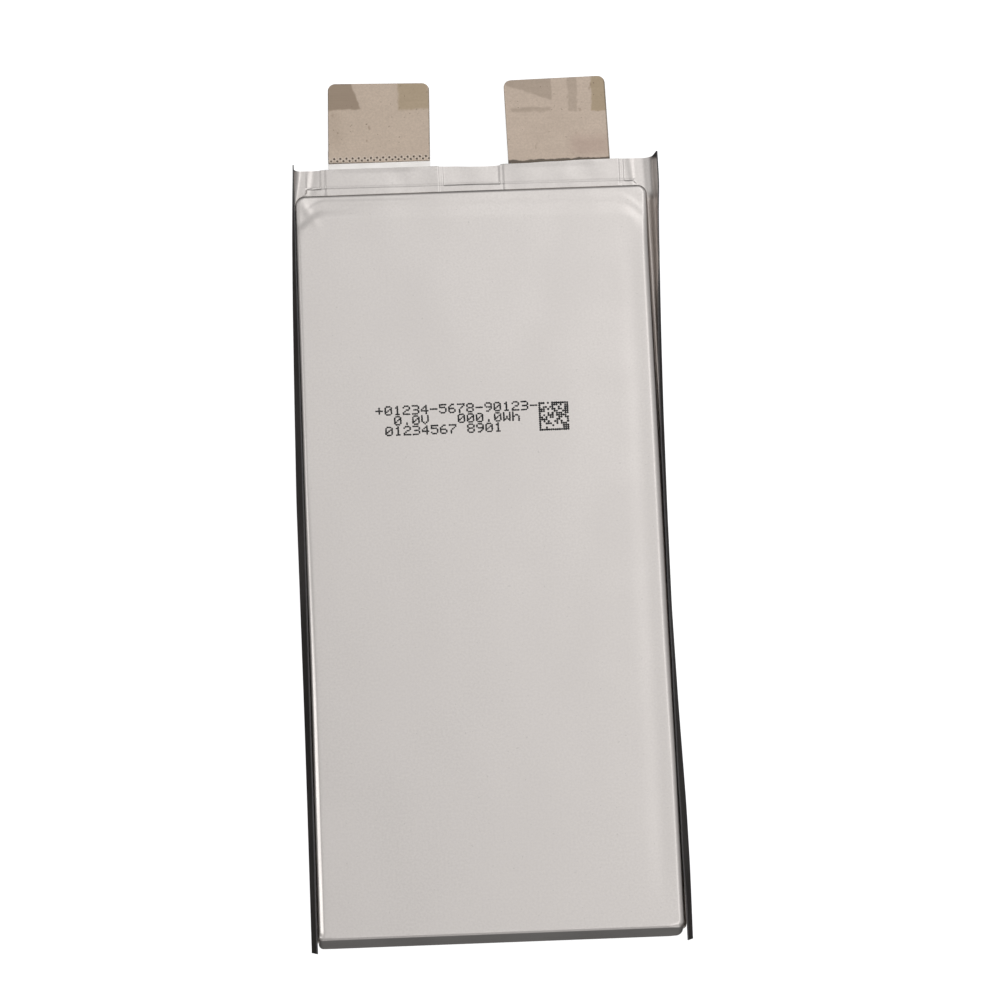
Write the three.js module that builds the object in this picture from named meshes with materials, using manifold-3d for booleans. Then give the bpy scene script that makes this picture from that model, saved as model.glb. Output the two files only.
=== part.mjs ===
// A pouch battery cell: a stack of electrode plates in a formed, heat-sealed laminate pouch,
// with two flat metal tabs leaving through the top seal.
// Millimetres. The cell lies on its rear face: +Z out of the front face, +Y towards the tabs,
// origin in the middle of the rear face.
import * as THREE from 'three';
import { mergeVertices } from 'three/addons/utils/BufferGeometryUtils.js';
import Module from 'manifold-3d';

// ---- driving dimensions: pouch ----
const CELL_WIDTH = 87;            // over the folded side wings
const CELL_LENGTH = 187;          // bottom fold to the edge of the top seal, tabs excluded
const CELL_THICKNESS = 11;
const TERRACE_LENGTH = 8;         // flat top flange that holds the seal and the tabs
const FILM = 0.15;                // laminate thickness
const CUP_HALF_WIDTH = 41.6;      // outside of the formed cup
const CUP_CORNER = 2.3;           // corner radius in plan
const CUP_EDGE = 1.3;             // radius between face and wall
const WING_TOP = 10.4;            // height of the folded wing's edge
const WING_TOP_GAP = 0.35;        // between the cup's wall and the wing's edge, which leans in to it
const WING_FOLD = 0.35;           // radius of the wing's fold line
const EAR_LENGTH = 3;             // how far each wing runs past the bottom fold
const FINGER_GAP = 0.02;          // clearance between stacked films, foils and plates

// ---- driving dimensions: tabs ----
const TAB_OFFSET = 21.4;          // tab centre from the cell's centre line
const TAB_WIDTH = 24.2;
const TAB_REACH = 21.4;           // tab length past the top seal's edge
const TAB_CORNER = 1.8;
const POSITIVE_TILT = -1.4;       // degrees that a tab leans to the left, in the plane of the cell
const NEGATIVE_TILT = 1;
const BEND_FROM_SEAL = 0.75;      // bend line's distance from the seal's edge
const BEND_RELIEF = 0.25;         // metal left out each side of the bend line
const ALUMINIUM_LEAD = 0.4;       // positive lead thickness
const COPPER_LEAD = 0.3;          // negative lead thickness
const ADAPTER = 0.2;              // nickel plate welded on the positive lead
const ADAPTER_FROM_SEAL = 1.5;
const STUB_OVERLAP = 3.2;         // how far the aluminium stub runs under the nickel plate
const SEALANT_WIDTH = 28.2;
const SEALANT_PAST_SEAL = 0.4;
const TAB_BULGE = 0.35;           // film stands off the seal plane by this over a tab
const BULGE_RAMP = 0.9;

// ---- driving dimensions: electrode stack ----
const CATHODES = 7;
const ANODES = CATHODES + 1;
const SEPARATOR = 0.1;
const PLATE = 0.5;
const STACK_BOTTOM_GAP = 1.2;     // stack's lower end to the bottom fold
const STACK_TOP_GAP = 6;          // stack's upper end to the cup's top wall
const SEPARATOR_HALF_WIDTH = 40.4;
const ANODE_MARGIN = 0.9;         // anode edge inside the separator's fold
const CATHODE_MARGIN = 1.9;
const FOIL = 0.06;                // one gathered foil
const FOIL_PITCH = 0.05;          // foils fused together in the weld
const FOIL_WIDTH = 20;
const WELD_LENGTH = 3.4;
const TAPE = 0.08;
const STACK_TAPE_WIDTH = 18;
const STACK_TAPE_REACH = 7;       // tape's overlap on the stack's faces

// ---- places worked out from them ----
const SEAM = CELL_THICKNESS / 2;
const CUP_LENGTH = CELL_LENGTH - TERRACE_LENGTH;
const CUP_END = CUP_LENGTH / 2;
const SEAL_EDGE = CUP_END + TERRACE_LENGTH;
const WING_HALF_WIDTH = CELL_WIDTH / 2;
const BEND_LINE = SEAL_EDGE + BEND_FROM_SEAL;
const TAB_TIP = SEAL_EDGE + TAB_REACH;
const STACK_LOW = FILM + 0.2;
const STACK_PITCH = (CELL_THICKNESS - 2 * STACK_LOW - SEPARATOR) / (CATHODES + ANODES);
const STACK_START = -CUP_END + STACK_BOTTOM_GAP;
const STACK_END = CUP_END - STACK_TOP_GAP;
const LEAD_START = STACK_END + 2;
const WELD_END = LEAD_START + WELD_LENGTH;

const METAL = { roughness: 0.35, metalness: 1 };
const MATERIALS = {
  film: new THREE.MeshStandardMaterial({ color: 0xcdc8c4, roughness: 0.42, metalness: 0.8 }),
  aluminium: new THREE.MeshStandardMaterial({ color: 0xd9d8d6, ...METAL }),
  nickel: new THREE.MeshStandardMaterial({ color: 0xb9a797, ...METAL }),
  sealant: new THREE.MeshStandardMaterial({ color: 0xd8d3c8, roughness: 0.5, metalness: 0 }),
  cathode: new THREE.MeshStandardMaterial({ color: 0x2b2c30, roughness: 0.9, metalness: 0 }),
  anode: new THREE.MeshStandardMaterial({ color: 0x1a1a1b, roughness: 0.85, metalness: 0.1 }),
  separator: new THREE.MeshStandardMaterial({ color: 0xf2f1ec, roughness: 0.7, metalness: 0 }),
  copper: new THREE.MeshStandardMaterial({ color: 0xb8734f, ...METAL }),
  tape: new THREE.MeshStandardMaterial({ color: 0x3f8f5b, roughness: 0.3, metalness: 0 }),
  weldTape: new THREE.MeshStandardMaterial({ color: 0xb8742a, roughness: 0.35, metalness: 0 }),
};

const cell = new THREE.Group();

function add(name, material, geometry) {
  const mesh = new THREE.Mesh(geometry, MATERIALS[material]);
  mesh.name = name;
  cell.add(mesh);
}

// ---- solids ----

// Extrudes an outline of [a, b] points between low and high, and lays the result out with
// place(a, b, along), so that equal inputs give exactly equal coordinates.
function prism(outline, low, high, place) {
  const shape = new THREE.Shape(outline.map(([a, b]) => new THREE.Vector2(a, b)));
  const geometry = new THREE.ExtrudeGeometry(shape, { depth: 1, bevelEnabled: false, curveSegments: 6 });
  const position = geometry.attributes.position;
  for (let i = 0; i < position.count; i += 1) {
    const along = position.getZ(i) < 0.5 ? low : high;
    position.setXYZ(i, ...place(position.getX(i), position.getY(i), along));
  }
  return facedOut(geometry);
}

// Flips every triangle of a closed geometry whose faces point in.
function facedOut(geometry) {
  const position = geometry.attributes.position;
  const corner = [new THREE.Vector3(), new THREE.Vector3(), new THREE.Vector3()];
  const listed = { length: position.count };
  const index = geometry.index ? Array.from(geometry.index.array) : Array.from(listed, (_, i) => i);
  let volume = 0;
  for (let i = 0; i < index.length; i += 3) {
    corner.forEach((point, k) => point.fromBufferAttribute(position, index[i + k]));
    volume += corner[0].dot(corner[1].clone().cross(corner[2]));
  }
  if (volume < 0) {
    for (let i = 0; i < index.length; i += 3) {
      [index[i + 1], index[i + 2]] = [index[i + 2], index[i + 1]];
    }
  }
  geometry.setIndex(index);
  return geometry;
}

const alongY = (x, z, y) => [x, y, z];
const alongX = (y, z, x) => [x, y, z];
const alongZ = (x, y, z) => [x, y, z];

function block(x, y, z) {
  return prism([[x[0], y[0]], [x[1], y[0]], [x[1], y[1]], [x[0], y[1]]], z[0], z[1], alongZ);
}

// Moves an open path sideways by a distance (to its left when positive), with mitred corners.
function offsetPath(path, distance) {
  if (distance === 0) {
    return path;
  }
  return path.map(([a, b], i) => {
    const before = path[Math.max(i - 1, 0)];
    const after = path[Math.min(i + 1, path.length - 1)];
    const incoming = new THREE.Vector2(a - before[0], b - before[1]).normalize();
    const outgoing = new THREE.Vector2(after[0] - a, after[1] - b).normalize();
    const heading = incoming.clone().add(outgoing).normalize();
    const straight = i === 0 || i === path.length - 1;
    const stretch = straight ? 1 : heading.dot(incoming);
    return [a - (heading.y * distance) / stretch, b + (heading.x * distance) / stretch];
  });
}

// The outline of a strip that follows a path between two sideways offsets.
function ribbon(path, from, to) {
  return [...offsetPath(path, from), ...offsetPath(path, to).reverse()];
}

const wasm = await Module();
wasm.setup();

function toSolid(geometry) {
  const bare = geometry.clone();
  bare.deleteAttribute('normal');
  bare.deleteAttribute('uv');
  bare.clearGroups();
  const merged = mergeVertices(bare, 1e-5);
  return new wasm.Manifold(new wasm.Mesh({
    numProp: 3,
    vertProperties: new Float32Array(merged.attributes.position.array),
    triVerts: new Uint32Array(merged.index.array),
  }));
}

function toGeometry(solid) {
  const mesh = solid.getMesh();
  const geometry = new THREE.BufferGeometry();
  geometry.setAttribute('position', new THREE.BufferAttribute(mesh.vertProperties, 3));
  geometry.setIndex(new THREE.BufferAttribute(mesh.triVerts, 1));
  return geometry;
}

function joined(geometries) {
  return geometries.map(toSolid).reduce((whole, next) => whole.add(next));
}

// ---- pouch ----

// One level of the formed cup: a rounded rectangle, drawn in by an inset.
function cupLoop(inset, height) {
  const radius = CUP_CORNER - inset;
  const steps = 4;
  const loop = [];
  const corners = [[1, 1], [-1, 1], [-1, -1], [1, -1]];
  corners.forEach(([sideX, sideY], quarter) => {
    for (let i = 0; i <= steps; i += 1) {
      const angle = (quarter + i / steps) * Math.PI / 2;
      loop.push([
        sideX * (CUP_HALF_WIDTH - CUP_CORNER) + radius * Math.cos(angle),
        sideY * (CUP_END - CUP_CORNER) + radius * Math.sin(angle),
        height,
      ]);
    }
  });
  return loop;
}

// Levels from the seam to the face; skin is the depth below the outside surface.
function cupLevels(side, skin) {
  const radius = CUP_EDGE - skin;
  const levels = [cupLoop(skin, SEAM)];
  const steps = 3;
  for (let i = 0; i <= steps; i += 1) {
    const angle = (i / steps) * Math.PI / 2;
    const rise = SEAM - CUP_EDGE + radius * Math.sin(angle);
    levels.push(cupLoop(skin + radius * (1 - Math.cos(angle)), SEAM + side * rise));
  }
  return levels;
}

// The formed cup as a thin film, open at the seam. side is 1 for the front, -1 for the rear.
function cupFilm(side) {
  const levels = [...cupLevels(side, FILM).reverse(), ...cupLevels(side, 0)];
  const count = levels[0].length;
  const index = [];
  for (let level = 0; level + 1 < levels.length; level += 1) {
    for (let i = 0; i < count; i += 1) {
      const a = level * count + i;
      const b = level * count + ((i + 1) % count);
      index.push(a, b, b + count, a, b + count, a + count);
    }
  }
  // Both flat caps are closed in strips from side to side, so that the middle strip is one wide facet pair.
  const last = (levels.length - 1) * count;
  const quarter = count / 4;
  for (let strip = 0; strip + 1 < count / 2; strip += 1) {
    const [right, nextRight] = [0, 1].map((step) => (quarter - 1 - strip - step + count) % count);
    const [left, nextLeft] = [quarter + strip, quarter + strip + 1];
    index.push(last + right, last + left, last + nextLeft, last + right, last + nextLeft, last + nextRight);
    index.push(right, nextLeft, left, right, nextRight, nextLeft);
  }
  const geometry = new THREE.BufferGeometry();
  geometry.setAttribute('position', new THREE.Float32BufferAttribute(levels.flat(2), 3));
  geometry.setIndex(index);
  return facedOut(geometry);
}

// The seam's path across a side wing: out along the seal plane, then folded up to the front.
function wingPath(side) {
  const top = [CUP_HALF_WIDTH + WING_TOP_GAP + FILM, WING_TOP];
  const foot = WING_HALF_WIDTH - FILM;
  const lean = Math.atan2(top[0] - foot, top[1] - SEAM);
  const path = [[CUP_HALF_WIDTH - FILM / 2, SEAM]];
  const steps = 4;
  for (let i = 0; i <= steps; i += 1) {
    const angle = (i / steps) * (Math.PI / 2 - lean);
    path.push([
      foot - WING_FOLD + WING_FOLD * Math.sin(angle),
      SEAM + WING_FOLD * (1 - Math.cos(angle)),
    ]);
  }
  path.push(top);
  return path.map(([x, z]) => [side * x, z]);
}

// The inside face of a film across the terrace, stood off the seal plane over each tab.
function terracePath(side) {
  const stand = SEAM + side * TAB_BULGE;
  const reach = CUP_HALF_WIDTH + 0.3;
  const path = [[-reach, SEAM]];
  for (const centre of [-TAB_OFFSET, TAB_OFFSET]) {
    const half = SEALANT_WIDTH / 2;
    path.push([centre - half - BULGE_RAMP, SEAM], [centre - half, stand]);
    path.push([centre + half, stand], [centre + half + BULGE_RAMP, SEAM]);
  }
  path.push([reach, SEAM]);
  return path;
}

// The space that a tab and its sealant pass through, cut from the cup's end wall.
function tabPassage(side, centre) {
  const half = SEALANT_WIDTH / 2;
  const stand = SEAM + side * TAB_BULGE;
  const beyond = SEAM - side * FILM;
  const outline = [
    [centre - half, beyond], [centre + half, beyond], [centre + half, stand], [centre - half, stand],
  ];
  return prism(outline, CUP_END - 2, SEAL_EDGE + 1, alongY);
}

function pouchHalf(side) {
  const wings = [-1, 1].map((hand) => {
    const thickness = side * hand * FILM;
    return prism(ribbon(wingPath(hand), 0, thickness), -CUP_END - EAR_LENGTH, SEAL_EDGE - 0.5, alongY);
  });
  const terrace = prism(ribbon(terracePath(side), 0, side * FILM), CUP_END - FILM, SEAL_EDGE, alongY);
  let half = joined([cupFilm(side), terrace, ...wings]);
  for (const centre of [-TAB_OFFSET, TAB_OFFSET]) {
    half = half.subtract(toSolid(tabPassage(side, centre)));
  }
  return toGeometry(half);
}

add('pouch_front_shell', 'film', pouchHalf(1));
add('pouch_rear_shell', 'film', pouchHalf(-1));

// ---- tabs ----

// A tab blade's outline with its two outer corners rounded. It leans about the middle of the bend line,
// while its lower edge stays parallel to that line.
function bladeOutline(centre, start, tilt) {
  const half = TAB_WIDTH / 2;
  const outline = [[centre - half, start], [centre + half, start]];
  const steps = 4;
  for (const [side, first] of [[1, 0], [-1, Math.PI / 2]]) {
    for (let i = 0; i <= steps; i += 1) {
      const angle = first + (i / steps) * Math.PI / 2;
      outline.push([
        centre + side * (half - TAB_CORNER) + TAB_CORNER * Math.cos(angle),
        TAB_TIP - TAB_CORNER + TAB_CORNER * Math.sin(angle),
      ]);
    }
  }
  const lean = THREE.MathUtils.degToRad(tilt);
  return outline.map(([x, y], i) => {
    const [across, along] = [x - centre, y - BEND_LINE];
    const onLowerEdge = i < 2;
    return [
      centre + across - along * Math.sin(lean),
      onLowerEdge ? y : BEND_LINE + along + across * Math.sin(lean),
    ];
  });
}

function addTab({ polarity, centre, thickness, tilt, material, bladeName }) {
  const across = [centre - TAB_WIDTH / 2, centre + TAB_WIDTH / 2];
  const through = [SEAM - thickness / 2, SEAM + thickness / 2];
  add(`${polarity}_tab_lead`, material, block(across, [LEAD_START, BEND_LINE - BEND_RELIEF], through));
  const bar = [];
  const sides = 12;
  for (let i = 0; i < sides; i += 1) {
    const angle = (i / sides) * 2 * Math.PI;
    const radius = thickness / 2;
    bar.push([BEND_LINE + radius * Math.cos(angle), SEAM + radius * Math.sin(angle)]);
  }
  add(`${polarity}_tab_bend`, material, prism(bar, across[0], across[1], alongX));
  if (bladeName) {
    const outline = bladeOutline(centre, BEND_LINE + BEND_RELIEF, tilt);
    add(bladeName, material, prism(outline, through[0], through[1], alongZ));
  } else {
    const stubEnd = SEAL_EDGE + ADAPTER_FROM_SEAL + STUB_OVERLAP;
    add(`${polarity}_tab_stub`, material, block(across, [BEND_LINE + BEND_RELIEF, stubEnd], through));
    const plate = bladeOutline(centre, SEAL_EDGE + ADAPTER_FROM_SEAL, tilt);
    add(`${polarity}_adapter_plate`, 'nickel', prism(plate, through[1], through[1] + ADAPTER, alongZ));
  }
  for (const [face, side] of [['front', 1], ['rear', -1]]) {
    const faces = [SEAM + side * (thickness / 2 + FINGER_GAP), SEAM + side * (TAB_BULGE - FINGER_GAP)];
    const half = SEALANT_WIDTH / 2 - FINGER_GAP;
    const span = [CUP_END + 0.5, SEAL_EDGE + SEALANT_PAST_SEAL];
    const film = block([centre - half, centre + half], span, faces.sort((a, b) => a - b));
    add(`${polarity}_sealant_${face}`, 'sealant', film);
  }
}

addTab({
  polarity: 'positive',
  centre: -TAB_OFFSET,
  thickness: ALUMINIUM_LEAD,
  tilt: POSITIVE_TILT,
  material: 'aluminium',
});
addTab({
  polarity: 'negative',
  centre: TAB_OFFSET,
  thickness: COPPER_LEAD,
  tilt: NEGATIVE_TILT,
  material: 'nickel',
  bladeName: 'negative_tab_blade',
});

// ---- electrode stack ----

const layerHeight = (layer) => STACK_LOW + SEPARATOR / 2 + layer * STACK_PITCH;
const plateHeight = (plate) => layerHeight(plate) + STACK_PITCH / 2;

// One separator web, folded to and fro between the plates.
function separatorPath() {
  const reach = SEPARATOR_HALF_WIDTH - SEPARATOR / 2;
  const path = [];
  for (let layer = 0; layer <= CATHODES + ANODES; layer += 1) {
    const start = layer % 2 === 0 ? -reach : reach;
    path.push([start, layerHeight(layer)], [-start, layerHeight(layer)]);
  }
  return path;
}

add('separator', 'separator', prism(
  ribbon(separatorPath(), -SEPARATOR / 2, SEPARATOR / 2), STACK_START, STACK_END, alongY,
));

for (let plate = 0; plate < CATHODES + ANODES; plate += 1) {
  const isAnode = plate % 2 === 0;
  const margin = isAnode ? ANODE_MARGIN : CATHODE_MARGIN;
  const half = SEPARATOR_HALF_WIDTH - margin;
  const height = plateHeight(plate);
  const name = isAnode ? `anode_plate_${plate / 2 + 1}` : `cathode_plate_${(plate + 1) / 2}`;
  add(name, isAnode ? 'anode' : 'cathode', block(
    [-half, half],
    [STACK_START + margin, STACK_END - margin],
    [height - PLATE / 2, height + PLATE / 2],
  ));
}

// The bare foils of one polarity, gathered from their plates and welded under the lead.
function foilBundle(centre, firstPlate, margin, leadThickness) {
  const weldTop = SEAM - leadThickness / 2 - FINGER_GAP;
  const across = [centre - FOIL_WIDTH / 2, centre + FOIL_WIDTH / 2];
  const leaves = [];
  let leaf = 0;
  for (let plate = firstPlate; plate < CATHODES + ANODES; plate += 2) {
    const start = STACK_END - margin + FINGER_GAP;
    const rise = plateHeight(plate);
    const landing = weldTop - FOIL / 2 - FOIL_PITCH * (CATHODES - leaf);
    const path = [[start, rise], [STACK_END, rise], [LEAD_START, landing], [WELD_END, landing]];
    leaves.push(prism(ribbon(path, -FOIL / 2, FOIL / 2), ...across, alongX));
    leaf += 1;
  }
  return toGeometry(joined(leaves));
}

add('positive_foil_bundle', 'aluminium', foilBundle(-TAB_OFFSET, 1, CATHODE_MARGIN, ALUMINIUM_LEAD));
add('negative_foil_bundle', 'copper', foilBundle(TAB_OFFSET, 0, ANODE_MARGIN, COPPER_LEAD));

// ---- tapes ----

// A strip of tape that wraps round one edge of the stack and onto both of its faces.
function wrapTape(edge, side, middle, place) {
  const low = STACK_LOW - FINGER_GAP - TAPE;
  const high = CELL_THICKNESS - low;
  const outside = side * (edge + FINGER_GAP + TAPE);
  const landing = side * (edge - STACK_TAPE_REACH);
  const path = [[landing, low], [outside, low], [outside, high], [landing, high]];
  const outline = ribbon(path, 0, side * TAPE);
  return prism(outline, middle - STACK_TAPE_WIDTH / 2, middle + STACK_TAPE_WIDTH / 2, place);
}

for (const [hand, side] of [['left', -1], ['right', 1]]) {
  for (const [place, middle] of [['lower', -48], ['upper', 44]]) {
    add(`stack_tape_${hand}_${place}`, 'tape', wrapTape(SEPARATOR_HALF_WIDTH, side, middle, alongY));
  }
  add(`stack_tape_bottom_${hand}`, 'tape', wrapTape(-STACK_START, -1, side * TAB_OFFSET, alongX));
}

for (const [polarity, centre, thickness] of [
  ['positive', -TAB_OFFSET, ALUMINIUM_LEAD],
  ['negative', TAB_OFFSET, COPPER_LEAD],
]) {
  const across = [centre - TAB_WIDTH / 2, centre + TAB_WIDTH / 2];
  const span = [LEAD_START + FINGER_GAP, WELD_END + 0.3];
  const front = SEAM + thickness / 2 + FINGER_GAP;
  const foilDepth = FOIL + FOIL_PITCH * CATHODES;
  const rear = SEAM - thickness / 2 - foilDepth - 2 * FINGER_GAP;
  add(`${polarity}_weld_tape_front`, 'weldTape', block(across, span, [front, front + TAPE]));
  add(`${polarity}_weld_tape_rear`, 'weldTape', block(across, span, [rear - TAPE, rear]));
}

export default cell;
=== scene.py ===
"""The looks of a pouch battery cell: laminate film, tabs, ink marking, inner parts, camera and light.

Shapes are worked out in millimetres in the row frame and written to meshes in metres.
"""

import math
import random

import bmesh
import bpy
import numpy as np
from mathutils import Matrix, Vector, noise


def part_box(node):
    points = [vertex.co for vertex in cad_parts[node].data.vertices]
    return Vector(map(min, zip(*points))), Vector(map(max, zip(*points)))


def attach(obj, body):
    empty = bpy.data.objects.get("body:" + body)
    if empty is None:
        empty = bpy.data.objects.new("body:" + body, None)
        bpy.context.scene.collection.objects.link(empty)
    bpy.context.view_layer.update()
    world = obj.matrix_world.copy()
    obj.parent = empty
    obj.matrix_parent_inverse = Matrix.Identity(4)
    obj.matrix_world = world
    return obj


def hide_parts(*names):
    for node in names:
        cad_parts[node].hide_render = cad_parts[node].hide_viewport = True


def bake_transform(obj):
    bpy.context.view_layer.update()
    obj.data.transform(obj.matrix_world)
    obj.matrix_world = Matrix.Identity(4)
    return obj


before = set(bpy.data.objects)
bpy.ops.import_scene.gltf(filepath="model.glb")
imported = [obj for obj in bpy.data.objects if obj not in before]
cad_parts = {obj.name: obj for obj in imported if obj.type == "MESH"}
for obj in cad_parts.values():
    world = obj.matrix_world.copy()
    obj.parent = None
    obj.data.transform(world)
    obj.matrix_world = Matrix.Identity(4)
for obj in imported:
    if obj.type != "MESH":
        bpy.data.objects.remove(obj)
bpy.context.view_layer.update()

MM = 0.001
SHARP_ANGLE = math.radians(50)    # an edge bent further than this is shaded as a crease


def node_box(name):
    """A CAD node's box at rest, in millimetres."""
    low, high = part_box(name)
    return np.array(low) / MM, np.array(high) / MM


# ---- sizes, in millimetres, read from the frame or shared with the CAD source ----
front_low, front_high = node_box("pouch_front_shell")
lead_low, lead_high = node_box("positive_tab_lead")
plate_low, plate_high = node_box("positive_adapter_plate")
bend_low, bend_high = node_box("negative_tab_bend")

SEAM = front_low[2]               # height of the plane where the two films meet
FACE = front_high[2]              # height of the flat front face
SEAL_EDGE = front_high[1]         # outer edge of the top flange
FLANGE = 8.0                      # width of the top flange
CUP_END = SEAL_EDGE - FLANGE      # outside of the cup's end walls
CUP_SIDE = 41.6                   # outside of the cup's side walls
CUP_CORNER = 2.3                  # radius of its outline at the upper corners
FILM = 0.15                       # the laminate's thickness
EAR_END = front_low[1]
BEND_LINE = (bend_low[1] + bend_high[1]) / 2
TAB_OFFSET = 21.4                 # from the cell's centre line to each tab's middle
TAB_WIDTH = 24.2
TAB_CORNER = 1.8
TAB_LENGTH = 21.4                 # from the top seal's edge to the tips
TAB_TIP = SEAL_EDGE + TAB_LENGTH
SEALANT_WIDTH = 28.2
TAB_BULGE = 0.24                  # how far the film stands off the seam over the tabs


# ---- small helpers ----

def smooth(low, high, value):
    """0 below low, 1 above high, and an s-curve between."""
    t = np.clip((np.asarray(value, float) - low) / (high - low), 0, 1)
    return t * t * (3 - 2 * t)


def mix(a, b, share):
    """a at share 0, b at share 1."""
    return a + (b - a) * share


def bell(centre, width, value):
    """1 at the centre, falling away to 0 over about twice the width."""
    return np.exp(-(((np.asarray(value, float) - centre) / width) ** 2))


def ripple(x, y, scale, seed):
    """Soft seeded noise from about -1 to 1 at each point, with features of about scale."""
    places = zip(np.ravel(x), np.ravel(y))
    values = [noise.noise(Vector((a / scale, b / scale, seed))) for a, b in places]
    return np.array(values).reshape(np.shape(x))


def link(obj):
    """Puts an object in the scene."""
    bpy.context.scene.collection.objects.link(obj)
    return obj


def object_from(name, points, faces, weld=0.0):
    """A smooth-shaded mesh object from points in millimetres. Points closer than weld become one."""
    mesh = bpy.data.meshes.new(name)
    mesh.from_pydata([tuple(p) for p in np.asarray(points) * MM], [], faces)
    if weld:
        edit = bmesh.new()
        edit.from_mesh(mesh)
        bmesh.ops.remove_doubles(edit, verts=edit.verts, dist=weld * MM)
        edit.to_mesh(mesh)
        edit.free()
    mesh.validate()
    mesh.shade_smooth()
    mesh.set_sharp_from_angle(angle=SHARP_ANGLE)
    return link(bpy.data.objects.new(name, mesh))


def grid_faces(rows, columns, start=0, closed=False, flip=False):
    """Quads between a grid's points. closed joins the last column to the first."""
    faces = []
    last = columns if closed else columns - 1
    for r in range(rows - 1):
        for c in range(last):
            a = start + r * columns + c
            b = start + r * columns + (c + 1) % columns
            face = (a, b, b + columns, a + columns)
            faces.append(face[::-1] if flip else face)
    return faces


class Surface:
    """Collects grids of points into one mesh."""

    def __init__(self):
        self.points = []
        self.faces = []
        self.count = 0

    def grid(self, points, closed=False, flip=False):
        """Adds a grid of points, rows by columns. It faces the other way if flip is set."""
        rows, columns = points.shape[:2]
        self.faces += grid_faces(rows, columns, self.count, closed, flip)
        self.points.append(points.reshape(-1, 3))
        self.count += rows * columns

    def to_object(self, name, weld=0.0):
        """The mesh object of everything collected."""
        return object_from(name, np.concatenate(self.points), self.faces, weld)


# ---- pouch: the formed cup ----

FACE_FINE = 9.0                   # closely sampled margin along the cup's edges
CUP_FOOT = 0.55                   # radius where the walls turn out into the flange
LEFT_SLOPE_WIDTH = 1.4            # the flat slope along the lower left edge
LEFT_SLOPE = 0.45                 # its fall per millimetre towards the edge
STACK_EDGE = 84.3                 # the plates' upper edge, which shows through the film
LOWER_CORNERS = (1.1, 1.7)        # radii of the cup's outline at the lower left and right
# Radii between the face and the walls.
LEFT_RADIUS, RIGHT_RADIUS, TOP_RADIUS = 1.1, 1.75, 1.15
LOWER_LEFT_RADIUS, LOWER_RIGHT_RADIUS, BOTTOM_RADIUS = 0.85, 1.3, 0.7
# How far the film falls: off the plates' edge, how much more at the left, and again beyond the edge.
DRAPE, DRAPE_LEFT, STEP_LEFT, STEP_RIGHT = 0.13, 0.15, 0.11, 0.04
REAR_DRAPE = 0.2
WRINKLE = 0.07
HOLLOW = 0.035
FILM_WAVES = ((0.030, 26, 3.1), (0.012, 9, 7.7))     # height, length and seed of each


def edge_samples(half, fine_count, coarse_count):
    """Coordinates from -half to half, packed towards both ends."""
    fine = FACE_FINE * (np.arange(fine_count) / fine_count) ** 1.9
    inner = np.linspace(-half + FACE_FINE, half - FACE_FINE, coarse_count)
    return np.concatenate([-half + fine, inner, (half - fine)[::-1]])


def to_disc(u, v):
    """Carries the square between 0 and 1 onto a quarter disc."""
    u, v = np.clip(u, 0, 1), np.clip(v, 0, 1)
    return u * np.sqrt(1 - v * v / 2), v * np.sqrt(1 - u * u / 2)


def round_corners(p, q, half_x, half_y, radius):
    """Carries a square grid onto a rounded rectangle. Returns x, y and the distance in from the outline.

    radius is a number, or one for each point.
    """
    u = (np.abs(p) - (half_x - radius)) / radius
    v = (np.abs(q) - (half_y - radius)) / radius
    corner = (u > 0) & (v > 0)
    round_u, round_v = to_disc(u, v)
    x = np.where(corner, np.sign(p) * (half_x - radius + radius * round_u), p)
    y = np.where(corner, np.sign(q) * (half_y - radius + radius * round_v), q)
    straight = np.minimum(half_x - np.abs(x), half_y - np.abs(y))
    round_inset = radius * (1 - np.hypot(round_u, round_v))
    return x, y, np.where(corner, round_inset, straight)


def edge_radius(x, y):
    """Radius between the face and the walls. The film bends most tightly at the lower left."""
    radius = mix(LEFT_RADIUS, RIGHT_RADIUS, smooth(-38, 40, x))
    radius = mix(radius, TOP_RADIUS, smooth(72, 88, y))
    radius = mix(radius, LOWER_LEFT_RADIUS, smooth(0, -60, y) * smooth(-38, -41, x))
    radius = mix(radius, LOWER_RIGHT_RADIUS, smooth(-10, -60, y) * smooth(38, 41, x))
    return mix(radius, BOTTOM_RADIUS, smooth(-84, -88, y) * smooth(41.2, 38, np.abs(x)))


def face_drop(x, y):
    """How far the front face lies below its flat level, mostly where the film drapes off the plates."""
    stack_edge = STACK_EDGE - 0.018 * x - 4.2 * smooth(33, 42, np.abs(x)) ** 2
    past = y - stack_edge
    drop = (DRAPE + DRAPE_LEFT * smooth(-18, -39, x)) * smooth(-1.7, 1.5, past)
    drop += STEP_LEFT * smooth(2.4, 3.6, past) * (1 - smooth(-22, 8, x)) * smooth(-40.5, -35, x)
    drop += STEP_RIGHT * smooth(2.6, 4.4, past) * smooth(-12, 14, x)
    # the wrinkle that runs in from the upper left corner
    along = (x + CUP_SIDE) * 0.5 + (CUP_END - y) * 0.86
    across = (x + CUP_SIDE) * 0.86 - (CUP_END - y) * 0.5
    drop -= WRINKLE * bell(0.4, 0.9, across) * bell(5.5, 3.2, along)
    # the soft hollow along the right edge
    drop += HOLLOW * bell(CUP_SIDE - 4.5, 2.2, x) * smooth(-86, -70, y) * smooth(82, 60, y)
    return drop


def left_slope(x, y):
    """Depth of the flat slope that the film takes along the lower left edge."""
    past = LEFT_SLOPE_WIDTH - (x + CUP_SIDE)
    depth = LEFT_SLOPE / 2 * (past + np.sqrt(past ** 2 + 0.02))
    return depth * smooth(25, -45, y) * smooth(-89.6, -87.6, y)


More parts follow.
